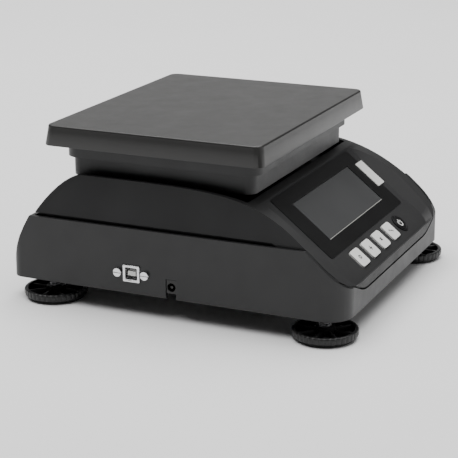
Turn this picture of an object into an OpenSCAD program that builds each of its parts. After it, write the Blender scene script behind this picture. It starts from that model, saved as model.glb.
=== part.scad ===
// Compact bench weighing scale: moulded two-part housing with an arched side,
// a sloping front panel, a removable platter on a sprung carrier, a single-point
// load cell inside and four screw feet.
// +X is the right side, -Y the front (display), +Z up. The origin is on the
// surface the feet stand on, under the middle of the whole footprint.

/* [Platter] */
// Width of the platter along X
platter_w = 185; // [180:0.5:188]
// Depth of the platter along Y
platter_d = 151; // [147:0.5:153]
// Height of the platter's skirt
platter_skirt = 13.4; // [12:0.1:15]
// Height of the platter's top face above the table
platter_top = 117.9; // [117.5:0.1:119]
// Wall thickness of the platter
platter_wall = 2.2; // [1.8:0.1:2.4]

/* [Housing] */
// Half of the lower housing's width at its bottom edge
body_half_w = 100.3; // [99.8:0.1:101]
// Front face of the housing along Y
body_front = -115.6; // [-116:0.1:-115]
// Rear end of the housing's bottom edge along Y
body_rear = 119.5; // [119:0.1:120]
// Height of the housing's bottom edge above the table
body_bottom = 14.5; // [14:0.1:15]
// Height of the arch's crest
crest_z = 86.2; // [86:0.1:87]
// Moulded wall thickness
wall = 2.5; // [2.2:0.1:2.6]
// Height at which the shadow groove between the two housings starts
groove_z = 57.6; // [57:0.1:58.5]
// Height of the shadow groove
groove_h = 2; // [1.6:0.1:2.4]
// Radius of the housing's front corners seen from above
front_corner_r = 16.5; // [15:0.5:18]

/* [Panel] */
// Tilt of the display panel from level
panel_tilt = 38.2; // [37.8:0.1:38.6]
// Width of the display glass
glass_w = 101.6; // [98:0.2:103]
// Length of the display glass along the slope
glass_h = 33.6; // [32:0.2:34.5]
// Distance between neighbouring keys
key_pitch = 20.5; // [19.5:0.1:21]
// Width and length of a key cap
key_size = [13.3, 13.1]; // [12:0.1:14]
// How far a key can be pressed
key_travel = 0.4; // [0.2:0.05:0.5]

/* [Weighing] */
// Half of the carrier's width
carrier_half_w = 79; // [76:0.5:80]
// Half of the carrier's depth
carrier_half_d = 65; // [62:0.5:65.5]
// Height of the carrier's lower edge
carrier_bottom = 82.8; // [82.8:0.1:85]
// Length, width and height of the load cell
cell_size = [130, 30, 22]; // [20:0.5:130]
// Gap between the load cell and its overload stop
stop_gap = 0.6; // [0.5:0.05:0.8]

/* [Feet] */
// Diameter of a foot's knob
knob_d = 42; // [40:0.5:43]
// Distance of the feet from the middle along X
foot_x = 87.6; // [87:0.1:88]
// Front feet along Y
foot_y_front = -98.5; // [-99:0.1:-98]
// Rear feet along Y
foot_y_rear = 93.3; // [92:0.1:94]
// Thread diameter of a foot's stud
stud_d = 8; // [7.8:0.1:8]
// Number of spokes under a knob's rim
knob_spokes = 8; // [6:1:10]

/* [Hidden] */
$fn = 64;

// Small overlap that lets a cut run past a face
eps = 0.1;
// Radial play of a screw in its hole
play = 0.06;
// Segments along the arch's rear and front curves
rear_steps = 14;
front_steps = 26;

// ---- housing ----
// Half-width of the lower housing at the groove, and of the upper housing there and at the crest
lower_top_half_w = body_half_w - 0.9;
upper_half_w = lower_top_half_w - wall - 0.3;
crest_half_w = upper_half_w - 7.4;
rear_corner_r = 8;
// How far the upper housing's rear stands in from the lower one's
upper_inset = 1.6;
// Reach of the upper housing's tongue below the groove, and its thickness
tongue_h = 6;
tongue_t = 2;
// Top and underside of the lower housing's floor
floor_z = 20.5;
floor_under = floor_z - wall;
// Front and rear edges of the well that the carrier hangs over, its half-width and its deck
well_front = -46;
well_rear = 84;
well_half_w = 86.4;
deck_z = 68.5;
// Parting line across the front
front_part_z = 25.3;
front_gap = 1.2;
// Crest start and end of the side arch's two Bezier curves
crest_y = 71.5;
rear_curve = [[body_rear, body_bottom], [body_rear - 0.6, 46.4], [88, crest_z], [crest_y, crest_z]];
front_curve = [[crest_y, crest_z], [-45.5, crest_z], [-60.5, crest_z + 2.1], [body_front, 33.5]];

// ---- panel ----
// Middle of the key row on the panel's surface
key_row_y = -103.5;
key_row_z = 38.15;
panel_floor_t = wall;
// How far the front skirt reaches below the panel's surface
panel_skirt = 6;
recess_half_w = 77.5;
recess_low = -11.7;
recess_high = 78;
// How far a recess wall leans out for each millimetre of depth
recess_lean = 1.45;
glass_mid = 37.2;
overlay_half_w = 69;
overlay_low = 10.3;
overlay_high = 64;
film_t = 0.4;
plate_x = [62, 74];
plate_v = [29.4, 51.9];
key_r = 2.2;
key_gap = 0.3;
cap_top = 1.1;
board_top = -8;
board_t = 1.6;
switch_h = 3.6;
display_post_x = 66;
display_post_v = [-6, 56];
key_x = [-2 * key_pitch, -key_pitch, 0, key_pitch, 2 * key_pitch];

// ---- weighing parts ----
// The load cell's middle lies under the platter's middle
mid_y = 18.4;
cell_z = 40;
cell_top = cell_z + cell_size[2];
cell_hole_x = [44.5, 59.5];
spacer_t = 3;
bracket_base_t = 5;
bracket_screw_x = 69;
bracket_screw_y = 11;
cell_screw_d = 6;
carrier_top = 113;
carrier_wall = 2.4;
carrier_r = 7;
flange_z = 95.5;
flange_out = 3.8;
cushion_d = 12;
cushion_x = 62;
cushion_y = 48;
platter_flare = 1.6;
platter_r = 5.8;

// ---- sockets on the left side ----
usb_y = 29.3;
usb_z = 27.9;
usb_w = 12;
usb_h = 11;
usb_open_w = 8.45;
usb_open_h = 7.8;
usb_screw_gap = 19.5;
usb_front = -body_half_w - 0.7;
usb_depth = 16;
jack_y = 1.2;
jack_w = 7.4;
jack_top = 27.5;
jack_low = 18;

// ---- feet and screws ----
sole_t = 1.5;
sole_d = 37;
knob_top = 6.8;
insert_d = 10.4;
insert_h = 12;
boss_top = 36.6;
stud_top = 29.8;
feet = [
    ["front_left", -foot_x, foot_y_front],
    ["front_right", foot_x, foot_y_front],
    ["rear_left", -foot_x, foot_y_rear],
    ["rear_right", foot_x, foot_y_rear]
];
// Places of the screws that hold the two housings together
join_xy = [[-88, -70], [88, -70], [-88, 62], [88, 62], [-40, 98], [40, 98]];
join_z = 26;
join_screw_d = 3;
// Main board
board_x = [-22, 72];
board_y = [48, 92];
board_z = 26;
board_hole_in = 5;

// ================= shared shapes =================

function bez(p, t) = pow(1 - t, 3) * p[0] + 3 * pow(1 - t, 2) * t * p[1]
    + 3 * (1 - t) * t * t * p[2] + pow(t, 3) * p[3];

// Rounded rectangle centred on the origin, from exact arcs
module rounded_rect(size, r) {
    square([size[0] - 2 * r, size[1]], center = true);
    square([size[0], size[1] - 2 * r], center = true);
    for (sx = [-1, 1], sy = [-1, 1])
        translate([sx * (size[0] / 2 - r), sy * (size[1] / 2 - r)]) circle(r);
}

// Outline of the housing seen from above: wide front corners, tighter rear ones
module plan(half_w, front, rear, rf, rr) {
    translate([-half_w, front + rf]) square([2 * half_w, rear - rr - front - rf]);
    translate([rf - half_w, front]) square([2 * (half_w - rf), rf + eps]);
    translate([rr - half_w, rear - rr - eps]) square([2 * (half_w - rr), rr + eps]);
    for (s = [-1, 1]) {
        translate([s * (half_w - rf), front + rf]) circle(rf);
        translate([s * (half_w - rr), rear - rr]) circle(rr);
    }
}

// The plan outline drawn from one height and half-width to another
module tapered_plan(z0, w0, z1, w1, front, rear, rf, rr) {
    hull() {
        translate([0, 0, z0]) linear_extrude(0.01) plan(w0, front, rear, rf, rr, $fn = 32);
        translate([0, 0, z1 - 0.01]) linear_extrude(0.01) plan(w1, front, rear, rf, rr, $fn = 32);
    }
}

// Side view of the arch extruded across the housing. inset moves the rear in, drop lowers all of it
module arch(inset = 0, drop = 0, low = body_bottom) {
    rear = [for (i = [0:rear_steps]) bez(rear_curve, i / rear_steps)];
    front = [for (i = [1:front_steps]) bez(front_curve, i / front_steps)];
    rotate([90, 0, 90]) linear_extrude(2 * body_half_w + 10, center = true)
        polygon(concat(
            [[body_front - 1, low - 1], [body_rear - inset, low - 1]],
            [for (p = rear) [p[0] - inset, p[1] - drop]],
            [for (p = front) [p[0], p[1] - drop]],
            [[body_front - 1, front[front_steps - 1][1] - drop]]
        ));
}

// Rise of the parting line across the front: level in the middle, up to the side walls at the corners
function part_rise(x) = let (t = min(1, max(0, (abs(x) - 58) / 35)), s = max(0, abs(x) - 91) / 8)
    10 * t * t * (3 - 2 * t) + 26 * s * s;

// Space above the front parting line, for everything in front of the corner's middle
module above_front_line(lift) {
    span = body_half_w + 4;
    xs = [for (i = [0:40]) -span + i * span / 20];
    translate([0, body_front + front_corner_r, 0]) rotate([90, 0, 0]) linear_extrude(front_corner_r + 2)
        polygon(concat(
            [[span, 120], [-span, 120]],
            [for (x = xs) [x, front_part_z + lift + part_rise(x)]]
        ));
}

// Moves its children to the panel: X across, Y up the slope, Z out of the surface
module on_panel() {
    translate([0, key_row_y, key_row_z]) rotate([panel_tilt, 0, 0]) children();
}

// Space over the panel, with walls that lean out. grow thickens it by one wall
module recess(grow = 0) {
    depth = 12;
    low = recess_low - grow;
    on_panel() hull() {
        translate([0, 0, -grow]) linear_extrude(0.01)
            recess_outline(recess_half_w + grow * 0.8, low, 7);
        translate([0, 0, depth]) linear_extrude(0.01)
            recess_outline(recess_half_w + grow * 1.3 + depth * recess_lean, low - depth * 0.35, 14);
    }
}

module recess_outline(half_w, low, r) {
    translate([0, (low + recess_high) / 2]) rounded_rect([2 * half_w, recess_high - low], r, $fn = 32);
}

// Screw along +Z with its head's underside at the origin and its shank going up
module screw(d, length, head_d, head_h) {
    cylinder(d = d, h = length);
    translate([0, 0, -head_h]) difference() {
        cylinder(d = head_d, h = head_h);
        translate([0, 0, -eps]) cross_slot(head_d * 0.55, head_h * 0.5 + eps);
    }
}

module cross_slot(length, depth) {
    for (a = [0, 90]) rotate([0, 0, a])
        translate([-length / 2, -length / 12, 0]) cube([length, length / 6, depth]);
}

// ================= housing =================

module lower_housing() {
    color("#3c3c3e") difference() {
        union() {
            lower_shell();
            for (f = feet) translate([f[1], f[2], floor_under]) cylinder(d = 16, h = boss_top - floor_under);
            for (p = join_xy) translate([p[0], p[1], floor_under]) cylinder(d = 8.5, h = join_z - floor_under);
            main_board_corners() translate([0, 0, floor_z - eps]) cylinder(d = 6.5, h = board_z - floor_z + eps);
        }
        for (f = feet) translate([f[1], f[2], 0]) {
            cylinder(d = insert_d, h = floor_under + insert_h);
            cylinder(d = stud_d + 1, h = boss_top + eps);
        }
        for (p = join_xy) translate([p[0], p[1], 0]) {
            cylinder(r = join_screw_d / 2 + play, h = join_z + eps);
            cylinder(d = 6.4, h = floor_under + 2.6);
        }
        main_board_corners() translate([0, 0, floor_z]) cylinder(r = 1.25 + play, h = board_z);
        for (sx = [-1, 1], sy = [-1, 1])
            translate([sx * bracket_screw_x, mid_y + sy * bracket_screw_y, 0]) cylinder(r = 2 + play, h = 30);
        socket_cuts();
    }
}

// Walls and floor of the lower housing, before bosses and holes
module lower_shell() {
    difference() {
        intersection() {
            tapered_plan(body_bottom, body_half_w, 60, lower_top_half_w,
                body_front, body_rear, front_corner_r, rear_corner_r);
            arch();
            translate([-150, -150, 0]) cube([300, 300, groove_z]);
        }
        intersection() {
            tapered_plan(floor_z, body_half_w - wall, 62, lower_top_half_w - wall,
                body_front + wall, body_rear - wall, front_corner_r - wall, rear_corner_r - wall);
            lower_cavity_side();
        }
        translate([0, 0, body_bottom - eps]) linear_extrude(floor_under - body_bottom + eps)
            plan(body_half_w - wall, body_front + wall, body_rear - wall, front_corner_r - wall, rear_corner_r - wall);
        above_front_line(0);
    }
}

// The lower housing's hollow seen from the side: open at the top, following the sloping rear wall
module lower_cavity_side() {
    rear = [for (i = [0:rear_steps]) bez(rear_curve, i / rear_steps)];
    rotate([90, 0, 90]) linear_extrude(240, center = true)
        polygon(concat(
            [[body_front - 1, floor_z]],
            [for (p = rear) [p[0] - wall * 1.06, p[1] < floor_z ? floor_z : p[1]]],
            [[body_front - 1, crest_z]]
        ));
}

// Openings in the left wall for the two sockets
module socket_cuts() {
    translate([-body_half_w - 5, usb_y - usb_w / 2 - 0.3, usb_z - usb_h / 2 - 0.3])
        cube([12, usb_w + 0.6, usb_h + 0.6]);
    for (s = [-1, 1]) translate([-body_half_w - 5, usb_y + s * usb_screw_gap / 2, usb_z])
        rotate([0, 90, 0]) cylinder(r = 1.5 + play, h = 12);
    translate([-body_half_w - 5, jack_y - jack_w / 2, body_bottom - 1])
        cube([19.5, jack_w, jack_top - body_bottom + 1]);
}

module upper_housing() {
    color("#414143") difference() {
        union() {
            upper_shell();
            tongue();
            intersection() {
                for (p = join_xy) translate([p[0], p[1], join_z]) cylinder(d = 8.5, h = upper_post_top(p) - join_z);
                arch(inset = upper_inset + 1, drop = 1, low = 20);
            }
            on_panel() display_posts() translate([0, 0, board_top]) cylinder(d = 6, h = -board_top - eps);
        }
        for (p = join_xy) translate([p[0], p[1], join_z - eps]) cylinder(r = join_screw_d / 2 + play, h = 14);
        on_panel() {
            display_posts() translate([0, 0, board_top - eps]) cylinder(r = 1 + play, h = 5.2);
            translate([0, glass_mid, -4]) linear_extrude(6) rounded_rect([glass_w, glass_h], 0.6);
            for (i = [0:3]) translate([key_x[i], 0, -4]) linear_extrude(6) key_hole();
            translate([key_x[4], 0, -4]) cylinder(d = key_size[0] + 2 * key_gap, h = 6);
        }
        translate([54 - 21, mid_y - 20.5, deck_z - 6]) cube([42, 41, 12]);
    }
}

// Height of a post's root: under the rear slope, the deck or a cheek of the panel
function upper_post_top(p) = p[1] > 90 ? 64.5 : (p[1] > 0 ? deck_z - wall + 1 : 69);

// Tongue behind the groove that reaches down inside the lower housing's walls
module tongue() {
    out = upper_half_w - 2;
    low = groove_z - tongue_h;
    difference() {
        intersection() {
            translate([0, 0, low]) linear_extrude(tongue_h + groove_h + 0.6)
                plan(out, -80, body_rear - 4, 2, rear_corner_r - 3);
            arch(inset = 4, low = 20);
        }
        intersection() {
            translate([0, 0, low - 1]) linear_extrude(tongue_h + groove_h + 3)
                plan(out - tongue_t, -90, body_rear - 4 - tongue_t, 2, rear_corner_r - 5);
            arch(inset = 4 + tongue_t, drop = -30, low = 20);
        }
    }
}

module key_hole() {
    rounded_rect([key_size[0] + 2 * key_gap, key_size[1] + 2 * key_gap], key_r + key_gap);
}

module display_posts() {
    for (s = [-1, 1], v = display_post_v) translate([s * display_post_x, v, 0]) children();
}

// Outer skin, panel recess, well and deck of the upper housing
module upper_shell() {
    difference() {
        intersection() {
            union() {
                tapered_plan(groove_z + groove_h, upper_half_w, crest_z + 1, crest_half_w,
                    body_front + 3, body_rear - 2, front_corner_r - 3, rear_corner_r - 2);
                nested_front();
            }
            arch(inset = upper_inset, low = 20);
        }
        difference() {
            union() {
                tapered_plan(groove_z, upper_half_w - wall, crest_z, crest_half_w - wall,
                    body_front + 5, body_rear - 5, front_corner_r - 5, rear_corner_r - 3);
                translate([0, 0, 15]) linear_extrude(groove_z - 14.9)
                    plan(upper_half_w - wall, body_front + 2 * wall + 0.6, 20, front_corner_r - 5, 2);
            }
            above_arch(3.1);
            well_block();
            recess(panel_floor_t);
        }
        translate([-well_half_w, well_front, deck_z]) cube([2 * well_half_w, well_rear - well_front, 40]);
        recess();
    }
}

// Everything above the arch lowered by drop, with its rear moved in by one wall
module above_arch(drop) {
    difference() {
        translate([-150, -150, 10]) cube([300, 300, 100]);
        arch(inset = upper_inset + wall * 1.1, drop = drop, low = 10);
    }
}

// Block that leaves the well's walls and its deck standing when the inside is hollowed
module well_block() {
    translate([-well_half_w - wall, well_front - wall, deck_z - wall])
        cube([2 * (well_half_w + wall), well_rear - well_front + 2 * wall, 60]);
}

// Front of the upper housing: a skirt inside the lower housing's walls and a lip over its front wall
module nested_front() {
    difference() {
        union() {
            translate([0, 0, 24]) linear_extrude(groove_z + groove_h - 24 + eps)
                plan(upper_half_w, body_front + wall + 0.4, -62, front_corner_r - wall - 0.4, 1);
            intersection() {
                translate([0, 0, 24]) linear_extrude(40)
                    plan(body_half_w - 0.7, body_front + 0.1, -99, front_corner_r, 1);
                above_front_line(front_gap);
            }
        }
        on_panel() translate([-150, -150, -100 - panel_skirt]) cube([300, 300, 100]);
        for (s = [-1, 1]) translate([s * foot_x, foot_y_front, 10]) cylinder(d = 19, h = boss_top - 9.6);
    }
}

module foot_inserts() {
    color("#b8963e") for (f = feet) translate([f[1], f[2], floor_under]) difference() {
        cylinder(r = insert_d / 2 - 0.02, h = insert_h);
        translate([0, 0, -eps]) cylinder(r = stud_d / 2 + play, h = insert_h + 1);
    }
}

module housing_screws() {
    color("#8f9092") for (p = join_xy) translate([p[0], p[1], floor_under + 2.6])
        screw(join_screw_d, 20 - floor_under + 17, 5.6, 2);
}

// ================= weighing parts =================

module cell_bracket() {
    half_l = cell_size[0] / 2 + 8;
    riser = 27;
    color("#9a9c9e") difference() {
        union() {
            translate([-half_l, mid_y - 17, floor_z]) cube([2 * half_l, 34, bracket_base_t]);
            translate([-cell_size[0] / 2, mid_y - 15, floor_z]) cube([riser, 30, cell_z - floor_z]);
            translate([52, mid_y, floor_z]) cylinder(d = 16, h = 12);
        }
        for (sx = [-1, 1], sy = [-1, 1])
            translate([sx * bracket_screw_x, mid_y + sy * bracket_screw_y, floor_z - 1]) cylinder(r = 2 + play, h = 8);
        for (x = cell_hole_x) translate([-x, mid_y, floor_z - 1]) {
            cylinder(r = cell_screw_d / 2 + play, h = 30);
            cylinder(d = 10.6, h = 8);
        }
        translate([52, mid_y, floor_z - 1]) cylinder(r = 3 + play, h = 20);
    }
}

module bracket_screws() {
    color("#8f9092") for (sx = [-1, 1], sy = [-1, 1])
        translate([sx * bracket_screw_x, mid_y + sy * bracket_screw_y, floor_under]) screw(4, 6.8, 7.4, 2.4);
}

// Aluminium single-point cell with the double bore that makes its thin flexures
module load_cell() {
    color("#b9bcc0") difference() {
        translate([-cell_size[0] / 2, mid_y - cell_size[1] / 2, cell_z]) cube(cell_size);
        for (s = [-1, 1]) translate([s * 13, mid_y, cell_z + cell_size[2] / 2])
            rotate([90, 0, 0]) cylinder(d = 17, h = 40, center = true);
        translate([-13, mid_y - 20, cell_z + cell_size[2] / 2 - 3]) cube([26, 40, 6]);
        for (x = cell_hole_x) {
            translate([-x, mid_y, cell_z - 1]) cylinder(r = cell_screw_d / 2 + play, h = 15);
            translate([x, mid_y, cell_top - 14]) cylinder(r = cell_screw_d / 2 + play, h = 15);
        }
    }
}

module cell_lower_screws() {
    color("#8f9092") for (x = cell_hole_x) translate([-x, mid_y, floor_z + 7]) screw(cell_screw_d, 23, 10, 6);
}

// Stop screw with its lock nut, just under the cell's free end
module overload_stop() {
    stop_top = cell_z - stop_gap;
    color("#8f9092") translate([52, mid_y, 0]) {
        translate([0, 0, floor_z + 1]) cylinder(d = 6, h = stop_top - floor_z - 1);
        translate([0, 0, floor_z + 12]) difference() {
            cylinder(d = 11, h = 4, $fn = 6);
            translate([0, 0, -1]) cylinder(r = 3, h = 6);
        }
    }
}

// Plate between the cell's free end and the carrier
module cell_spacer() {
    color("#9a9c9e") difference() {
        translate([38, mid_y - 14, cell_top]) cube([27, 28, spacer_t]);
        for (x = cell_hole_x) translate([x, mid_y, cell_top - 1]) cylinder(r = cell_screw_d / 2 + play, h = 5);
    }
}

// Hollow carrier: the neck seen under the platter, with ribs and a column down to the cell
module carrier() {
    column_x = 54;
    color("#2f2f31") difference() {
        union() {
            carrier_tray();
            translate([column_x - 16, mid_y - 15.5, cell_top + spacer_t])
                cube([32, 31, carrier_top - cell_top - spacer_t - 1]);
            for (x = [-40, column_x])
                translate([x - 1.2, mid_y - carrier_half_d + 1, 94]) cube([2.4, 2 * carrier_half_d - 2, 18]);
        }
        for (x = cell_hole_x) translate([x, mid_y, cell_top]) {
            cylinder(r = cell_screw_d / 2 + play, h = 60);
            translate([0, 0, spacer_t + 9]) cylinder(d = 11, h = 60);
        }
        for (sx = [-1, 1], sy = [-1, 1])
            translate([sx * cushion_x, mid_y + sy * cushion_y, carrier_top - 1.2]) cylinder(r = cushion_d / 2 + 0.05, h = 2);
    }
}

// Skirt, rim flange and top plate of the carrier
module carrier_tray() {
    translate([0, mid_y, 0]) difference() {
        union() {
            translate([0, 0, carrier_bottom]) linear_extrude(carrier_top - carrier_bottom)
                rounded_rect([2 * carrier_half_w, 2 * carrier_half_d], carrier_r);
            translate([0, 0, flange_z]) linear_extrude(7)
                rounded_rect([2 * (carrier_half_w + flange_out), 2 * (carrier_half_d + flange_out)], carrier_r + flange_out);
        }
        translate([0, 0, carrier_bottom - 1]) linear_extrude(carrier_top - carrier_bottom - 2)
            rounded_rect([2 * (carrier_half_w - carrier_wall), 2 * (carrier_half_d - carrier_wall)], carrier_r - carrier_wall);
    }
}

module cell_upper_screws() {
    color("#8f9092") for (x = cell_hole_x)
        translate([x, mid_y, cell_top + spacer_t + 9]) mirror([0, 0, 1]) screw(cell_screw_d, 22, 10, 6);
}

module platter_cushions() {
    top = platter_top - platter_wall;
    color("#1b1b1c") for (sx = [-1, 1], sy = [-1, 1])
        translate([sx * cushion_x, mid_y + sy * cushion_y, carrier_top - 1.2])
            cylinder(d = cushion_d, h = top - carrier_top + 1.2);
}

// Shallow upside-down tray with a drafted skirt and four locating ribs
module platter() {
    color("#6b6a67") translate([0, mid_y, 0]) {
        difference() {
            platter_block(0, platter_top);
            platter_block(platter_wall, platter_top - platter_wall);
        }
        for (s = [-1, 1]) {
            translate([s * (carrier_half_w + 2) - 1, -20, platter_top - platter_wall - 3.5]) cube([2, 40, 4]);
            translate([-25, s * (carrier_half_d + 2) - 1, platter_top - platter_wall - 3.5]) cube([50, 2, 4]);
        }
    }
}

// Drafted block of the platter, shrunk by inset on every side
module platter_block(inset, top) {
    low = platter_top - platter_skirt - (inset > 0 ? 1 : 0);
    edge = 1.2;
    w = platter_w - 2 * inset;
    d = platter_d - 2 * inset;
    hull() {
        translate([0, 0, low]) linear_extrude(0.01)
            rounded_rect([w + 2 * platter_flare, d + 2 * platter_flare], platter_r, $fn = 32);
        translate([0, 0, top - edge]) linear_extrude(0.01) rounded_rect([w, d], platter_r, $fn = 32);
        translate([0, 0, top - 0.35]) linear_extrude(0.01) rounded_rect([w - 0.7, d - 0.7], platter_r - 0.3, $fn = 32);
        translate([0, 0, top - 0.01]) linear_extrude(0.01) rounded_rect([w - 2.4, d - 2.4], platter_r - 1, $fn = 32);
    }
}

// ================= electronics =================

module main_board_corners() {
    for (x = [board_x[0] + board_hole_in, board_x[1] - board_hole_in])
        for (y = [board_y[0] + board_hole_in, board_y[1] - board_hole_in])
            translate([x, y, 0]) children();
}

module main_board() {
    color("#1f5a36") difference() {
        translate([board_x[0], board_y[0], board_z]) cube([board_x[1] - board_x[0], board_y[1] - board_y[0], 1.6]);
        main_board_corners() translate([0, 0, board_z - 1]) cylinder(r = 1.25 + play, h = 4);
    }
}

// Processor, converter, capacitors, crystal and the three plug headers
module main_board_parts() {
    top = board_z + 1.6;
    color("#2a2a2c") {
        translate([18, 66, top]) cube([14, 14, 1.6]);
        translate([44, 60, top]) cube([10, 6, 1.8]);
        translate([-10, 74, top]) cube([9, 6, 2.2]);
        for (x = [0, 9]) translate([x, 58, top]) cylinder(d = 6.3, h = 9);
        translate([40, 78, top]) cylinder(d = 12, h = 7);
        translate([8, 84, top]) cube([11, 4.6, 3.4]);
        for (x = [-14, 26, 52]) translate([x, 52, top]) cube([10, 5.6, 6]);
    }
}

module main_board_screws() {
    color("#8f9092") main_board_corners() translate([0, 0, board_z + 1.6]) mirror([0, 0, 1]) screw(2.5, 6.6, 4.6, 1.8);
}

// Cable from the load cell's fixed end to the main board, as a round tube swept along a smooth route
cable_route = [
    [-65.4, 26, 52], [-67.4, 26.2, 52], [-70, 29.6, 51.2], [-71.2, 37, 47], [-70, 44, 41], [-66, 50, 36], [-58, 55, 33],
    [-48, 58, 32], [-38, 58.5, 32], [-28, 57, 32], [-21, 55.5, 32], [-14.4, 55, 32]
];
module cell_cable() {
    color("#262626") tube(cable_route, 1.9, 8);
}

// Solid tube through a list of points
module tube(points, r, sides) {
    n = len(points);
    dirs = [for (i = [0:n - 1]) unit(points[min(i + 1, n - 1)] - points[max(i - 1, 0)])];
    rings = [for (i = [0:n - 1]) ring(points[i], dirs[i], r, sides)];
    all = [for (g = rings) for (p = g) p];
    polyhedron(all, concat(
        [[for (k = [0:sides - 1]) k]],
        [[for (k = [0:sides - 1]) n * sides - 1 - k]],
        [for (i = [0:n - 2]) for (k = [0:sides - 1]) let (a = i * sides, b = (k + 1) % sides)
            [a + k, a + sides + k, a + sides + b]],
        [for (i = [0:n - 2]) for (k = [0:sides - 1]) let (a = i * sides, b = (k + 1) % sides)
            [a + k, a + sides + b, a + b]]
    ));
}

function unit(v) = v / norm(v);
function ring(p, d, r, sides) = let (u = unit(cross(d, [0, 0, 1])), w = cross(d, u))
    [for (k = [0:sides - 1]) p + r * (cos(360 * k / sides) * u + sin(360 * k / sides) * w)];

module usb_shell() {
    color("#c9cacb") translate([usb_front, usb_y, usb_z]) difference() {
        translate([0, -usb_w / 2, -usb_h / 2]) cube([usb_depth, usb_w, usb_h]);
        translate([-1, -usb_open_w / 2, -usb_open_h / 2]) cube([11, usb_open_w, usb_open_h]);
    }
}

// Tongue and back wall inside the square socket
module usb_insulator() {
    color("#f2f2ee") translate([usb_front + 1.2, usb_y - 2.8, usb_z - 1.6]) cube([8.8, 5.6, 3.2]);
}

module usb_board() {
    color("#1f5a36") translate([usb_front + 4, usb_y - 8, usb_z - usb_h / 2 - 1.6]) cube([20, 16, 1.6]);
}

// Two pan-head screws either side of the square socket
module usb_screws() {
    color("#d6d6d6") for (s = [-1, 1]) translate([-body_half_w + 0.4, usb_y + s * usb_screw_gap / 2, usb_z])
        rotate([0, 90, 0]) {
            cylinder(d = 3, h = 6.4);
            translate([0, 0, -1.9]) difference() {
                cylinder(d = 5.6, h = 1.6);
                translate([-0.4, -4, -0.1]) cube([0.8, 8, 0.8]);
            }
            translate([0, 0, -0.3 - eps]) cylinder(d = 3, h = 1);
        }
}

module usb_nuts() {
    color("#c0c0c0") for (s = [-1, 1]) translate([-body_half_w + wall + 0.6, usb_y + s * usb_screw_gap / 2, usb_z])
        rotate([0, 90, 0]) difference() {
            cylinder(d = 6.2, h = 2.2, $fn = 6);
            translate([0, 0, -1]) cylinder(r = 1.5 + play, h = 5);
        }
}

// Round low-voltage inlet that fills the notch in the left wall
module dc_jack() {
    h = jack_top - jack_low - 0.3;
    color("#161617") translate([-body_half_w + 0.8, jack_y, jack_low]) {
        difference() {
            translate([0, -jack_w / 2 + 0.15, 0]) cube([13.4, jack_w - 0.3, h]);
            translate([-1, 0, h / 2 - 0.4]) rotate([0, 90, 0]) cylinder(d = 5.6, h = 10.5);
        }
        translate([0.6, 0, h / 2 - 0.4]) rotate([0, 90, 0]) cylinder(d = 2, h = 9.5);
    }
}

module display_board() {
    color("#1f5a36") on_panel() difference() {
        translate([-74, -11.5, board_top - board_t]) cube([148, 72.5, board_t]);
        display_posts() translate([0, 0, board_top - 3]) cylinder(r = 1 + play, h = 4);
    }
}

module display_board_screws() {
    color("#8f9092") on_panel() display_posts() translate([0, 0, board_top - board_t]) screw(2, 6.2, 4, 1.6);
}

// Display with its frame, on the board and close under the window
module display_module() {
    color("#50534f") on_panel() translate([-56, glass_mid - 19.5, board_top]) cube([112, 39, -board_top - wall - 0.2]);
}

module key_switches() {
    color("#232325") on_panel() for (x = key_x) translate([x, 0, board_top]) {
        translate([-3, -3, 0]) cube([6, 6, switch_h - 0.4]);
        cylinder(d = 3.2, h = switch_h);
    }
}

// Flat ribbon from the display board's underside down to a header on the main board
module display_ribbon() {
    drop = on_panel_point(30, board_top - board_t - 0.3);
    color("#b9b9b4") rotate([90, 0, 90]) translate([0, 0, 26.5]) linear_extrude(9)
        ribbon_path([drop, drop + [6, -7], [-44, 30], [-36, 26.8], [-26, 26.2], [38, 26.2], [45, 28], [49, 30.6],
            [51.9, 30.6]], 0.5);
}

// Side-view place of a point given up the slope and out of the panel
function on_panel_point(v, w) = [key_row_y + v * cos(panel_tilt) - w * sin(panel_tilt),
    key_row_z + v * sin(panel_tilt) + w * cos(panel_tilt)];

// Thin strip along a line of points in the side view
module ribbon_path(p, t) {
    n = len(p);
    side = [for (i = [0:n - 1]) let (d = unit(p[min(i + 1, n - 1)] - p[max(i - 1, 0)])) [-d[1], d[0]] * t / 2];
    polygon(concat([for (i = [0:n - 1]) p[i] + side[i]], [for (i = [n - 1:-1:0]) p[i] - side[i]]));
}

// ================= panel =================

module display_window() {
    color("#54575a", 0.6) on_panel() translate([0, glass_mid, -wall]) linear_extrude(wall)
        rounded_rect([glass_w - 0.2, glass_h - 0.2], 0.5);
}

// Dark film on the panel, open over the glass and beside the name plate
module panel_overlay() {
    color("#1c1c1d") on_panel() linear_extrude(film_t) difference() {
        translate([0, (overlay_low + overlay_high) / 2]) rounded_rect([2 * overlay_half_w, overlay_high - overlay_low], 2);
        translate([0, glass_mid]) rounded_rect([glass_w, glass_h], 0.6);
        translate([plate_x[0] - 0.1, plate_v[0] - 0.1]) square([20, plate_v[1] - plate_v[0] + 0.2]);
    }
}

module name_plate() {
    color("#e9e9e6") on_panel() linear_extrude(0.8)
        translate([(plate_x[0] + plate_x[1]) / 2, (plate_v[0] + plate_v[1]) / 2])
            rounded_rect([plate_x[1] - plate_x[0], plate_v[1] - plate_v[0]], 0.8);
}

// White cap with a flange under the panel and a stem over its switch
module key_cap(i) {
    color("#f1f1ef") on_panel() translate([key_x[i], 0, 0]) {
        translate([0, 0, -wall - 0.5]) linear_extrude(wall + 0.5 + cap_top) rounded_rect(key_size, key_r);
        key_foot();
    }
}

module key_foot() {
    translate([0, 0, -wall - 1.3]) linear_extrude(0.8)
        rounded_rect([key_size[0] + 1.8, key_size[1] + 1.8], key_r);
    translate([0, 0, board_top + switch_h + key_travel + 0.05])
        cylinder(d = 3, h = -wall - 1.2 - board_top - switch_h - key_travel);
}

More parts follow.
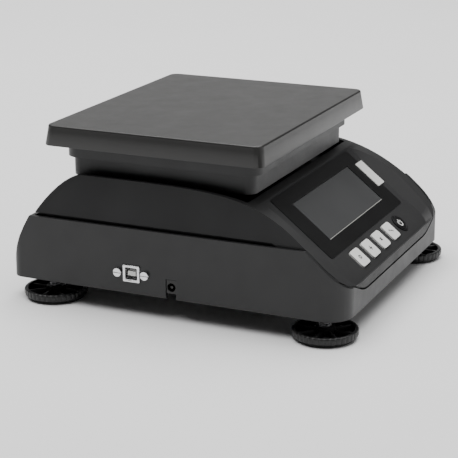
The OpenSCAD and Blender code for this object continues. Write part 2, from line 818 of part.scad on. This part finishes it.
module power_key() {
    color("#1d1d1f") on_panel() translate([key_x[4], 0, 0]) {
        difference() {
            translate([0, 0, -wall - 0.5]) cylinder(d = key_size[0], h = wall + 0.5 + 0.7);
            translate([0, 0, 0.45]) difference() {
                cylinder(d = 11.4, h = 1);
                cylinder(d = 10.6, h = 1);
            }
        }
        key_foot();
    }
}

// ================= feet =================

function foot_at(name) = [for (f = feet) if (f[0] == name) [f[1], f[2], 0]][0];

module foot_sole(name) {
    color("#19191a") translate(foot_at(name)) difference() {
        cylinder(d = sole_d, h = sole_t);
        translate([0, 0, -1]) cylinder(d = 12, h = 4);
    }
}

// Knurled knob: a rim, a hub and thin spokes over a web, chamfered underneath
module foot_knob(name) {
    rim = 2.4;
    web = 1.4;
    color("#1f1f20") translate(foot_at(name) + [0, 0, sole_t]) difference() {
        union() {
            rotate_extrude() polygon([
                [0, 0], [knob_d / 2 - 1.6, 0], [knob_d / 2, 1.8], [knob_d / 2, knob_top - sole_t - 0.4],
                [knob_d / 2 - 0.4, knob_top - sole_t], [knob_d / 2 - rim, knob_top - sole_t],
                [knob_d / 2 - rim, web], [6.5, web], [6.5, knob_top - sole_t + 1.2], [0, knob_top - sole_t + 1.2]
            ]);
            for (k = [0:knob_spokes - 1]) rotate([0, 0, k * 360 / knob_spokes])
                translate([6, -0.8, 0]) cube([knob_d / 2 - rim - 5.6, 1.6, knob_top - sole_t - 0.8]);
        }
        translate([0, 0, 1]) cylinder(r = stud_d / 2 + play / 2, h = 10);
    }
}

module foot_stud(name) {
    color("#9b9da0") translate(foot_at(name)) {
        translate([0, 0, sole_t + 1]) cylinder(d = stud_d, h = stud_top - sole_t - 2);
        translate([0, 0, stud_top - 1]) cylinder(d1 = stud_d, d2 = stud_d - 2, h = 1);
    }
}

lower_housing();
upper_housing();
foot_inserts();
housing_screws();
cell_bracket();
bracket_screws();
load_cell();
cell_lower_screws();
overload_stop();
cell_cable();
main_board();
main_board_parts();
main_board_screws();
usb_shell();
usb_insulator();
usb_board();
usb_screws();
usb_nuts();
dc_jack();
display_board();
display_board_screws();
display_module();
display_ribbon();
key_switches();
display_window();
panel_overlay();
name_plate();
key_cap(0);  // key_1
key_cap(1);  // key_2
key_cap(2);  // key_3
key_cap(3);  // key_4
power_key();
carrier();
cell_spacer();
cell_upper_screws();
platter_cushions();
platter();
foot_sole("front_left");  // foot_sole_front_left
foot_sole("front_right");  // foot_sole_front_right
foot_sole("rear_left");  // foot_sole_rear_left
foot_sole("rear_right");  // foot_sole_rear_right
foot_knob("front_left");  // foot_knob_front_left
foot_knob("front_right");  // foot_knob_front_right
foot_knob("rear_left");  // foot_knob_rear_left
foot_knob("rear_right");  // foot_knob_rear_right
foot_stud("front_left");  // foot_stud_front_left
foot_stud("front_right");  // foot_stud_front_right
foot_stud("rear_left");  // foot_stud_rear_left
foot_stud("rear_right");  // foot_stud_rear_right
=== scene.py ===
import math

import bmesh
import bpy
from mathutils import Matrix, Vector


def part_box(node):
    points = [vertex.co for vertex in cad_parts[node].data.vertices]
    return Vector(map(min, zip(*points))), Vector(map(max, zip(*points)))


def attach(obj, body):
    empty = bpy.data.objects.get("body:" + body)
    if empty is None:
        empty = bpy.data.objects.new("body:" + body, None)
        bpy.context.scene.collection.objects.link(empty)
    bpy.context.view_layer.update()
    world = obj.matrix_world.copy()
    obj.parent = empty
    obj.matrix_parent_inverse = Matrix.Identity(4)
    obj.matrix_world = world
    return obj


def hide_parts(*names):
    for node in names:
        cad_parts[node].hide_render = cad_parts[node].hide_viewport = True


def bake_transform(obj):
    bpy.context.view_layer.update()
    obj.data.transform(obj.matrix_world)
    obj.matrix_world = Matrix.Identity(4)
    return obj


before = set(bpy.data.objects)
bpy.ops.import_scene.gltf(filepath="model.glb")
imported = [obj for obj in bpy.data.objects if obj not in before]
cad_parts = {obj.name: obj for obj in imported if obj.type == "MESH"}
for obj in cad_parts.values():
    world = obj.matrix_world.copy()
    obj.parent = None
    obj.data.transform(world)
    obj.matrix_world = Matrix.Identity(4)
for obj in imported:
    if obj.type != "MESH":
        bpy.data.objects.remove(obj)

MM = 0.001
TAU = 2 * math.pi
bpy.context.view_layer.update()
TILT = math.radians(38.2)

# ---------------------------------------------------------------- camera


def make_camera():
    """The photo's view. Place, direction, roll and lens were solved from the object's edges."""
    data = bpy.data.cameras.new("camera")
    cam = bpy.data.objects.new("camera", data)
    bpy.context.scene.collection.objects.link(cam)
    forward = Vector((0.86930, 0.39569, -0.29623)).normalized()
    right = forward.cross(Vector((0, 0, 1))).normalized()
    up = right.cross(forward)
    roll = math.radians(-0.2904)
    r = right * math.cos(roll) + up * math.sin(roll)
    u = up * math.cos(roll) - right * math.sin(roll)
    m = Matrix((r, u, -forward)).transposed().to_4x4()
    m.translation = Vector((-0.8956, -0.4015, 0.3374))
    cam.matrix_world = m
    data.lens = 117.2
    data.sensor_width = 36
    data.clip_start = 0.02
    data.clip_end = 60
    data.dof.use_dof = False
    bpy.context.scene.camera = cam


make_camera()

# ---------------------------------------------------------------- materials


class Nodes:
    """Short names for building one material's node tree."""

    def __init__(self, name):
        self.mat = bpy.data.materials.new(name)
        self.mat.use_nodes = True
        self.tree = self.mat.node_tree
        self.shader = self.tree.nodes["Principled BSDF"]

    def add(self, kind, **values):
        node = self.tree.nodes.new(kind)
        for key, value in values.items():
            if hasattr(node, key):
                setattr(node, key, value)
            else:
                node.inputs[key.replace("_", " ")].default_value = value
        return node

    def link(self, a, b):
        self.tree.links.new(a, b)

    def coords(self, stretch=(1, 1, 1)):
        place = self.add("ShaderNodeMapping")
        place.inputs["Scale"].default_value = stretch
        self.link(self.add("ShaderNodeTexCoord").outputs["Object"], place.inputs["Vector"])
        return place.outputs["Vector"]

    def noise(self, scale, detail=3, rough=0.55, vector=None):
        node = self.add("ShaderNodeTexNoise", Scale=scale, Detail=detail, Roughness=rough)
        self.link(vector or self.coords(), node.inputs["Vector"])
        return node.outputs["Fac"]

    def ramp(self, value, low, high, a, b):
        node = self.add("ShaderNodeMapRange")
        for key, number in (("From Min", low), ("From Max", high), ("To Min", a), ("To Max", b)):
            node.inputs[key].default_value = number
        self.link(value, node.inputs["Value"])
        return node.outputs["Result"]

    def blend(self, value, a, b):
        node = self.add("ShaderNodeMix", data_type="RGBA")
        self.link(value, node.inputs["Factor"])
        node.inputs["A"].default_value = (*a, 1)
        node.inputs["B"].default_value = (*b, 1)
        return node.outputs["Result"]

    def bump(self, height, strength, distance, before=None):
        node = self.add("ShaderNodeBump", Strength=strength, Distance=distance)
        self.link(height, node.inputs["Height"])
        if before:
            self.link(before, node.inputs["Normal"])
        self.link(node.outputs["Normal"], self.shader.inputs["Normal"])
        return node.outputs["Normal"]

    def set(self, **values):
        for key, value in values.items():
            self.shader.inputs[key.replace("_", " ")].default_value = value
        return self


def mix(color, factor):
    return tuple(min(1, c * factor) for c in color)


def plastic(name, color, rough=0.45, grain=0.3, grain_scale=2600, mottle=0.1, spread=0.05, spec=0.45):
    """Moulded plastic: a fine spark-eroded grain, slow flow marks and a slightly uneven gloss."""
    n = Nodes(name)
    slow = n.noise(22, 4)
    shade = n.blend(n.ramp(slow, 0.3, 0.7, 0, 1), mix(color, 1 - mottle), mix(color, 1 + mottle))
    n.link(shade, n.shader.inputs["Base Color"])
    gloss = n.ramp(n.noise(60, 5, 0.65), 0.3, 0.7, rough - spread, rough + spread)
    n.link(gloss, n.shader.inputs["Roughness"])
    if grain:
        first = n.bump(n.noise(grain_scale, 2, 0.6), grain, 0.00006)
        n.bump(n.noise(grain_scale / 14, 3), grain * 0.5, 0.00012, first)
    n.set(Specular_IOR_Level=spec)
    return n.mat


def metal(name, color, rough=0.3, brushed=(1, 1, 1), scale=900, strength=0.2):
    """Metal with its tooling marks drawn out along one axis."""
    n = Nodes(name)
    marks = n.noise(scale, 4, 0.6, n.coords(brushed))
    shade = n.blend(n.ramp(marks, 0.3, 0.7, 0, 1), mix(color, 0.82), mix(color, 1.08))
    n.link(shade, n.shader.inputs["Base Color"])
    n.link(n.ramp(marks, 0.3, 0.7, rough - 0.08, rough + 0.12), n.shader.inputs["Roughness"])
    n.bump(marks, strength, 0.00004)
    n.set(Metallic=1.0)
    return n.mat


def rubber(name, color, rough=0.75):
    n = Nodes(name)
    shade = n.blend(n.ramp(n.noise(90, 5), 0.3, 0.7, 0, 1), mix(color, 0.8), mix(color, 1.35))
    n.link(shade, n.shader.inputs["Base Color"])
    n.link(n.ramp(n.noise(400, 4), 0.3, 0.7, rough - 0.1, rough + 0.1), n.shader.inputs["Roughness"])
    n.bump(n.noise(3500, 3), 0.4, 0.00008)
    return n.mat


def board(name):
    """Solder mask with copper tracks showing through as lighter lines."""
    n = Nodes(name)
    cells = n.add("ShaderNodeTexVoronoi", feature="DISTANCE_TO_EDGE", distance="MANHATTAN", Scale=260)
    n.link(n.coords(), cells.inputs["Vector"])
    tracks = n.ramp(cells.outputs["Distance"], 0.03, 0.07, 1, 0)
    n.link(n.blend(tracks, (0.010, 0.085, 0.036), (0.030, 0.190, 0.085)), n.shader.inputs["Base Color"])
    n.bump(tracks, 0.3, 0.00005)
    n.link(n.ramp(n.noise(300), 0.3, 0.7, 0.28, 0.4), n.shader.inputs["Roughness"])
    return n.mat


M = {
    "housing_lower_plastic": plastic("housing_lower_plastic", (0.0135, 0.0135, 0.0140), 0.42),
    "housing_upper_plastic": plastic("housing_upper_plastic", (0.0290, 0.0290, 0.0295), 0.50, spec=0.22),
    "carrier_plastic": plastic("carrier_plastic", (0.0110, 0.0110, 0.0115), 0.42),
    "platter_plastic": plastic("platter_plastic", (0.0185, 0.0180, 0.0172), 0.33, grain=0.3, spread=0.03),
    "foot_plastic": plastic("foot_plastic", (0.0060, 0.0060, 0.0062), 0.34, grain=0.15),
    "foot_rubber": rubber("foot_rubber", (0.014, 0.014, 0.014)),
    "cushion_rubber": rubber("cushion_rubber", (0.018, 0.018, 0.018)),
    "stud_steel": metal("stud_steel", (0.42, 0.42, 0.43), 0.32),
    "insert_brass": metal("insert_brass", (0.60, 0.43, 0.15), 0.28),
    "screw_steel": metal("screw_steel", (0.50, 0.50, 0.51), 0.33),
    "socket_steel": metal("socket_steel", (0.80, 0.80, 0.81), 0.22, (1, 1, 6)),
    "socket_white": plastic("socket_white", (0.78, 0.78, 0.75), 0.3, grain=0.1),
    "socket_black": plastic("socket_black", (0.010, 0.010, 0.010), 0.3, grain=0.1),
    "cell_aluminium": metal("cell_aluminium", (0.66, 0.67, 0.68), 0.30, (0.05, 1, 1), 1500),
    "bracket_aluminium": metal("bracket_aluminium", (0.50, 0.51, 0.52), 0.45),
    "board_green": board("board_green"),
    "component_black": plastic("component_black", (0.018, 0.018, 0.019), 0.4, grain=0.2),
    "cable_black": rubber("cable_black", (0.016, 0.016, 0.016), 0.55),
    "ribbon_grey": plastic("ribbon_grey", (0.36, 0.36, 0.34), 0.5, grain=0.1),
    "display_body": plastic("display_body", (0.050, 0.052, 0.050), 0.35, grain=0.05),
    "film_black": plastic("film_black", (0.0070, 0.0070, 0.0072), 0.33, grain=0.12, spec=0.35),
    "plate_white": plastic("plate_white", (0.78, 0.78, 0.76), 0.35, grain=0.1, mottle=0.03),
    "key_white": plastic("key_white", (0.80, 0.80, 0.78), 0.33, grain=0.1, mottle=0.03),
    "key_black": plastic("key_black", (0.0070, 0.0070, 0.0075), 0.32, grain=0.1),
}


def window_glass():
    """Smoked window, an even grey while the display is off, with faint wipe marks in its gloss."""
    n = Nodes("window_clear")
    dark, light = (0.056, 0.057, 0.058), (0.064, 0.065, 0.066)
    n.link(n.blend(n.ramp(n.noise(25, 4), 0.3, 0.7, 0, 1), dark, light), n.shader.inputs["Base Color"])
    wipes = n.noise(45, 5, 0.6, n.coords((1, 3, 3)))
    n.link(n.ramp(wipes, 0.3, 0.7, 0.16, 0.26), n.shader.inputs["Roughness"])
    n.set(Specular_IOR_Level=0.5)
    return n.mat


M["window_clear"] = window_glass()

# ---------------------------------------------------------------- helpers for pieces


def link_object(name, mesh):
    obj = bpy.data.objects.new(name, mesh)
    bpy.context.scene.collection.objects.link(obj)
    return obj


def paint(obj, slot_name):
    obj.data.materials.clear()
    obj.data.materials.append(M[slot_name])


def place(obj, body, slot_name, *nodes):
    paint(obj, slot_name)
    if body:
        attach(obj, body)
    if nodes:
        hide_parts(*nodes)
    return obj


def smooth(obj, angle=35):
    for p in obj.data.polygons:
        p.use_smooth = True
    obj.data.set_sharp_from_angle(angle=math.radians(angle))


def refined(node, body, slot_name, width, segments=3, angle=32):
    """A copy of a CAD node with its faces joined up and its edges rounded by width millimetres."""
    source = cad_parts[node]
    bm = bmesh.new()
    bm.from_mesh(source.data)
    bmesh.ops.remove_doubles(bm, verts=bm.verts, dist=2e-6)
    bmesh.ops.dissolve_limit(bm, angle_limit=math.radians(0.7), verts=bm.verts, edges=bm.edges, delimit=set())
    mesh = bpy.data.meshes.new(node + "_moulded")
    bm.to_mesh(mesh)
    bm.free()
    obj = link_object(node + "_moulded", mesh)
    for p in mesh.polygons:
        p.use_smooth = True
    bevel = obj.modifiers.new("edges", "BEVEL")
    bevel.width = width * MM
    bevel.segments = segments
    bevel.limit_method = "ANGLE"
    bevel.angle_limit = math.radians(angle)
    bevel.use_clamp_overlap = True
    bevel.miter_outer = "MITER_ARC"
    bevel.harden_normals = False
    weighted = obj.modifiers.new("normals", "WEIGHTED_NORMAL")
    weighted.keep_sharp = True
    weighted.weight = 80
    return place(obj, body, slot_name, node)


def ring_rect(hx, hy, r, z, centre=(0, 0), arc=8):
    """One closed rounded rectangle of points, in millimetres, seen from above and running anticlockwise."""
    pts = []
    for k, (sx, sy) in enumerate(((1, 1), (-1, 1), (-1, -1), (1, -1))):
        for i in range(arc + 1):
            a = math.radians(90 * k + 90 * i / arc)
            x = centre[0] + sx * (hx - r) + r * math.cos(a)
            y = centre[1] + sy * (hy - r) + r * math.sin(a)
            pts.append((x, y, z))
    return pts


def loft(name, rings, caps=(True, True), closed=False):
    """Skin through rings of equally many points, in millimetres. The rings run from one cap to the other."""
    bm = bmesh.new()
    rows = [[bm.verts.new(Vector(p) * MM) for p in ring] for ring in rings]
    n = len(rows[0])
    pairs = list(zip(rows, rows[1:]))
    if closed:
        pairs.append((rows[-1], rows[0]))
    for a, b in pairs:
        for i in range(n):
            j = (i + 1) % n
            bm.faces.new((a[i], a[j], b[j], b[i]))
    if caps[0]:
        bm.faces.new(list(reversed(rows[0])))
    if caps[1]:
        bm.faces.new(rows[-1])
    bmesh.ops.recalc_face_normals(bm, faces=bm.faces)
    mesh = bpy.data.meshes.new(name)
    bm.to_mesh(mesh)
    bm.free()
    obj = link_object(name, mesh)
    smooth(obj)
    return obj


def merged(name, *objs):
    """Joins pieces into one object called name."""
    bm = bmesh.new()
    for o in objs:
        bm.from_mesh(o.data)
        bpy.data.objects.remove(o)
    mesh = bpy.data.meshes.new(name)
    bm.to_mesh(mesh)
    bm.free()
    obj = link_object(name, mesh)
    smooth(obj)
    return obj


def arc_points(cx, cz, r, a0, a1, steps):
    turns = [math.radians(a0 + (a1 - a0) * i / steps) for i in range(steps + 1)]
    return [(cx + r * math.cos(a), cz + r * math.sin(a)) for a in turns]


def node_mm(node):
    lo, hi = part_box(node)
    return [v / MM for v in lo], [v / MM for v in hi]


# ---------------------------------------------------------------- platter


def make_platter():
    """Moulded tray: soft top edge, drafted skirt, rolled lower rim, ribs that locate it on the carrier."""
    lo, hi = node_mm("platter")
    cx, cy = (lo[0] + hi[0]) / 2, (lo[1] + hi[1]) / 2
    hx, hy = (hi[0] - lo[0]) / 2, (hi[1] - lo[1]) / 2
    flare, wall, top, low, r = 1.6, 2.2, hi[2], lo[2], 5.8
    neck_lo, neck_hi = node_mm("carrier")
    rib_x, rib_y = (neck_hi[0] - neck_lo[0]) / 2 - 1.8, (neck_hi[1] - neck_lo[1]) / 2 - 1.8

    def ring(inset, z, radius):
        return ring_rect(hx - flare - inset, hy - flare - inset, max(0.8, radius), z, (cx, cy), 10)

    rings = [ring(wall + 1.6, top - wall, r - 3), ring(wall + 0.5, top - wall - 0.4, r - 2.4)]
    rings.append(ring(wall, top - wall - 1.6, r - wall))
    rings.append(ring(wall - flare + 0.1, low + 0.5, r - wall))
    rings += [ring(wall - flare - 0.35, low + 0.12, r - wall + 0.3), ring(wall - flare - 0.8, low, r - 1.4)]
    rings += [ring(0.7 - flare, low, r - 0.6), ring(0.2 - flare, low + 0.15, r - 0.2)]
    rings.append(ring(-flare, low + 0.6, r))
    rings.append(ring(-0.25, top - 3.4, r))
    for x, z in arc_points(0, top - 1.2, 1.2, 0, 90, 8):
        rings.append(ring(1.2 - x, z, r - (1.2 - x) * 0.6))
    rings.append(ring(2.4, top, r - 1.2))
    body = loft("platter_body", rings)
    ribs = []
    rib_heights = (top - wall - 3.5, top - wall + 0.2)
    for s in (-1, 1):
        ribs.append(loft("rib", [ring_rect(1, 20, 0.6, z, (cx + s * rib_x, cy), 3) for z in rib_heights]))
        ribs.append(loft("rib", [ring_rect(25, 1, 0.6, z, (cx, cy + s * rib_y), 3) for z in rib_heights]))
    place(merged("platter_tray", body, *ribs), "platter", "platter_plastic", "platter")


make_platter()

# ---------------------------------------------------------------- feet


def knob_ring(profile, teeth, depth, sides):
    """Revolves profile (radius, z, share of the knurl) with grooves cut into the knurled stretch."""
    rings = []
    for radius, z, share in profile:
        ring = []
        for i in range(sides):
            a = TAU * i / sides
            groove = depth * share * max(0.0, math.cos(teeth * a)) ** 2
            ring.append(((radius - groove) * math.cos(a), (radius - groove) * math.sin(a), z))
        rings.append(ring)
    return rings


def make_foot(tag):
    lo, hi = node_mm("foot_knob_" + tag)
    x, y = (lo[0] + hi[0]) / 2, (lo[1] + hi[1]) / 2
    z0, z1 = lo[2], hi[2] - 1.2
    big = (hi[0] - lo[0]) / 2
    inner = big - 2.6
    profile = [(4.2, z0 + 0.1, 0), (big - 2.4, z0 + 0.05, 0), (big - 1.5, z0 + 0.15, 0)]
    profile += [(big - 0.6, z0 + 0.9, 0.3), (big - 0.05, z0 + 1.7, 1), (big, z0 + 2.4, 1)]
    profile += [(big, z1 - 0.9, 1), (big - 0.25, z1 - 0.3, 0.6), (big - 0.8, z1, 0.1), (inner + 0.4, z1, 0)]
    profile += [(inner, z1 - 0.35, 0), (inner - 0.1, z0 + 1.9, 0), (inner - 0.8, z0 + 1.4, 0)]
    profile += [(7.4, z0 + 1.4, 0), (6.7, z0 + 1.9, 0), (6.4, z1 + 0.6, 0), (5.9, z1 + 1.1, 0)]
    profile.append((4.4, z1 + 1.2, 0))
    rim = loft("rim", knob_ring(profile, 36, 0.55, 216), closed=True)
    parts = [rim]
    for k in range(8):
        a = TAU * k / 8
        length = inner - 5.4
        section = ((0.95, z0 + 1.2), (0.8, z1 - 1.0), (0.65, z1 - 0.75), (0.4, z1 - 0.65))
        middle = (6 + length / 2, 0)
        spoke = loft("spoke", [ring_rect(length / 2, w, 0.4, z, middle, 3) for w, z in section])
        spoke.data.transform(Matrix.Rotation(a, 4, "Z"))
        parts.append(spoke)
    knob = merged("knob_" + tag, *parts)
    knob.data.transform(Matrix.Translation((x * MM, y * MM, 0)))
    place(knob, "foot_knob_" + tag, "foot_plastic", "foot_knob_" + tag)

    lo, hi = node_mm("foot_stud_" + tag)
    pitch, major, depth, sides = 1.25, (hi[0] - lo[0]) / 2, 0.62, 40
    steps = 10
    count = int((hi[2] - lo[2]) / pitch * steps)
    rings = []
    for j in range(count + 1):
        z = lo[2] + (hi[2] - lo[2]) * j / count
        end = min(1.0, hi[2] - z)
        ring = []
        for i in range(sides):
            phase = (z / pitch - i / sides) % 1.0
            radius = major - depth * (1 - abs(2 * phase - 1)) - (1 - end) * 0.5
            if z < z0 + 5:
                radius = major
            ring.append((x + radius * math.cos(TAU * i / sides), y + radius * math.sin(TAU * i / sides), z))
        rings.append(ring)
    stud = loft("stud_" + tag, rings)
    place(stud, "foot_knob_" + tag, "stud_steel", "foot_stud_" + tag)

    lo, hi = node_mm("foot_sole_" + tag)
    r = (hi[0] - lo[0]) / 2
    rings = []
    grooves = [(6, 0.15), (6.15, 0)]
    for start in (7.6, 11.4):
        grooves += [(start, 0), (start + 0.3, 0.35), (start + 1.0, 0.35), (start + 1.3, 0)]
    edge = [(r - 0.5, 0), (r - 0.1, 0.12), (r, 0.4), (r, 1.2), (r - 0.2, 1.5), (6, 1.5)]
    turns = [TAU * i / 72 for i in range(72)]
    for radius, z in grooves + edge:
        rings.append([(x + radius * math.cos(a), y + radius * math.sin(a), lo[2] + z) for a in turns])
    place(loft("sole_" + tag, rings, closed=True), "foot_sole_" + tag, "foot_rubber", "foot_sole_" + tag)


for foot in ("front_left", "front_right", "rear_left", "rear_right"):
    make_foot(foot)

# ---------------------------------------------------------------- pieces made from the CAD nodes

refined("lower_housing", "housing", "housing_lower_plastic", 0.8, 4)
refined("upper_housing", "housing", "housing_upper_plastic", 0.9, 4)
refined("carrier", "carrier", "carrier_plastic", 0.7, 3)
refined("display_window", "housing", "window_clear", 0.25)
refined("panel_overlay", "housing", "film_black", 0.12, 2)
refined("name_plate", "housing", "plate_white", 0.2)
for key in ("key_1", "key_2", "key_3", "key_4"):
    refined(key, key, "key_white", 0.55, 4, 50)
refined("power_key", "power_key", "key_black", 0.3, 3, 50)
refined("usb_shell", "housing", "socket_steel", 0.45, 3)
refined("usb_insulator", "housing", "socket_white", 0.3)
refined("usb_screws", "housing", "socket_steel", 0.4, 3, 50)
refined("dc_jack", "housing", "socket_black", 0.3)
for cad, slot_name, width in (
    ("usb_nuts", "socket_steel", 0.2),
    ("usb_board", "board_green", 0.12),
    ("foot_inserts", "insert_brass", 0.3),
    ("housing_screws", "screw_steel", 0.25),
    ("bracket_screws", "screw_steel", 0.3),
    ("cell_lower_screws", "screw_steel", 0.4),
    ("overload_stop", "screw_steel", 0.4),
    ("main_board_screws", "screw_steel", 0.2),
    ("display_board_screws", "screw_steel", 0.2),
    ("cell_bracket", "bracket_aluminium", 0.6),
    ("cell_cable", "cable_black", 0.0),
    ("main_board", "board_green", 0.15),
    ("main_board_parts", "component_black", 0.3),
    ("display_board", "board_green", 0.15),
    ("display_module", "display_body", 0.5),
    ("display_ribbon", "ribbon_grey", 0.1),
    ("key_switches", "component_black", 0.25),
):
    refined(cad, "housing", slot_name, width, 2)


def make_load_cell():
    """A copy of the load cell, cut across at even steps from its clamped left end to the spacer, with its
    place baked into its mesh.
    """
    cell = refined("load_cell", None, "cell_aluminium", 0.5, 2)
    mesh = bpy.data.meshes.new_from_object(cell.evaluated_get(bpy.context.evaluated_depsgraph_get()))
    cell.modifiers.clear()
    clamped, before_spacer, cuts = 0.036, 0.001, 15
    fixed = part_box("load_cell")[0][0] + clamped
    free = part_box("cell_spacer")[0][0] - before_spacer
    bm = bmesh.new()
    bm.from_mesh(mesh)
    for i in range(cuts):
        x = fixed + (free - fixed) * i / (cuts - 1)
        whole = bm.verts[:] + bm.edges[:] + bm.faces[:]
        bmesh.ops.bisect_plane(bm, geom=whole, plane_co=(x, 0, 0), plane_no=(1, 0, 0))
    bm.to_mesh(mesh)
    bm.free()
    cell.data = mesh
    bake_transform(cell)


make_load_cell()
refined("cell_spacer", "carrier", "cell_aluminium", 0.4, 2)
refined("cell_upper_screws", "carrier", "screw_steel", 0.4, 2)
refined("platter_cushions", "carrier", "cushion_rubber", 0.8, 3)

# ---------------------------------------------------------------- key marks and a painted highlight along the window's lower edge


UP = Matrix.Rotation(TILT, 3, "X")
# How far a printed mark reaches below and above the face it is on, in millimetres.
SUNK, PROUD = -0.04, 0.06


def outer_face(node):
    """Middle and half size, in the panel's own directions, of a node's outermost face."""
    pts = [UP.transposed() @ v.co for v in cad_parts[node].data.vertices]
    high = max(p.z for p in pts)
    face = [p for p in pts if high - p.z < 0.00005]
    xs, ys = [p.x for p in face], [p.y for p in face]
    middle = Vector(((min(xs) + max(xs)) / 2, (min(ys) + max(ys)) / 2, high))
    return middle, (max(xs) - min(xs)) / 2, (max(ys) - min(ys)) / 2


def on_face(obj, middle):
    obj.data.transform(UP.to_4x4() @ Matrix.Translation(middle))
    return obj


def bar(hx, hy, at=(0, 0), turn=0.0):
    """Printed bar, turned about the mark's middle."""
    obj = loft("bar", [ring_rect(hx, hy, min(hx, hy) * 0.6, z, at, 3) for z in (SUNK, PROUD)])
    obj.data.transform(Matrix.Rotation(turn, 4, "Z"))
    return obj


def printed_ring(r, width, start=0.0, sweep=TAU, steps=40):
    """Printed ring or open arc of square section."""
    whole = sweep >= TAU - 1e-6
    rings = []
    for i in range(steps if whole else steps + 1):
        a = start + sweep * i / steps
        near, far = r - width / 2, r + width / 2
        section = ((near, SUNK), (far, SUNK), (far, PROUD), (near, PROUD))
        rings.append([(q * math.cos(a), q * math.sin(a), z) for q, z in section])
    return loft("ring", rings, caps=(not whole, not whole), closed=whole)


def make_marks_and_painted_glint():
    marks = {
        "key_1": [printed_ring(1.15, 0.7)],
        "key_2": [bar(1.7, 0.42), bar(1.7, 0.42, turn=math.pi / 2)],
        "key_3": [bar(1.5, 0.5, turn=math.pi / 4), bar(1.5, 0.5, turn=-math.pi / 4)],
        "key_4": [bar(0.7, 0.5, (-1.7, 0.9)), bar(0.9, 0.45, (0.2, 0.0)), bar(0.7, 0.5, (1.8, -0.9))],
    }
    for key, parts in marks.items():
        place(on_face(merged(key + "_mark", *parts), outer_face(key)[0]), key, "component_black")
    arc = printed_ring(2.3, 0.85, math.radians(122), math.radians(296))
    glyph = merged("power_glyph", arc, bar(0.42, 1.5, (0, 1.7)))
    place(on_face(glyph, outer_face("power_key")[0]), "power_key", "plate_white")
    middle, hx, hy = outer_face("display_window")
    edge = (0, -hy / MM + 0.35)
    # A thin light-grey strip standing just proud of the window's lower edge, in the ribbon's grey. It is a
    # painted highlight where the glass edge catches the light, not a part of its own.
    lip = loft("lip", [ring_rect(hx / MM - 0.6, 0.22, 0.1, z, edge, 3) for z in (-0.05, 0.12)])
    lip.name = "window_lip"
    place(on_face(lip, middle), "housing", "ribbon_grey")


make_marks_and_painted_glint()

# ---------------------------------------------------------------- floor and light


def make_stage():
    bm = bmesh.new()
    bmesh.ops.create_circle(bm, cap_ends=True, segments=96, radius=14)
    mesh = bpy.data.meshes.new("floor")
    bm.to_mesh(mesh)
    bm.free()
    floor = link_object("floor", mesh)
    n = Nodes("floor")
    n.link(n.blend(n.noise(3, 2), (0.90, 0.90, 0.90), (0.94, 0.94, 0.94)), n.shader.inputs["Base Color"])
    n.set(Roughness=0.9, Specular_IOR_Level=0.1)
    floor.data.materials.append(n.mat)
    world = bpy.data.worlds.new("world")
    world.use_nodes = True
    world.node_tree.nodes["Background"].inputs["Color"].default_value = (1, 1, 1, 1)
    world.node_tree.nodes["Background"].inputs["Strength"].default_value = 0.09
    bpy.context.scene.world = world


def area_light(name, location, target, size, power):
    data = bpy.data.lights.new(name, "AREA")
    data.shape = "RECTANGLE"
    data.size, data.size_y = size
    data.energy = power
    obj = bpy.data.objects.new(name, data)
    bpy.context.scene.collection.objects.link(obj)
    obj.location = location
    obj.rotation_mode = "QUATERNION"
    obj.rotation_quaternion = (Vector(target) - Vector(location)).to_track_quat("-Z", "Y")


make_stage()
area_light("top", (0.25, 0.3, 2.3), (0.1, 0.1, 0), (3.2, 3.2), 135)
area_light("front", (0.35, -2.0, 0.75), (0, 0, 0.08), (1.2, 0.7), 7)
area_light("sheen", (1.75, 0.80, 0.66), (0, 0.02, 0.118), (1.8, 0.8), 2.6)
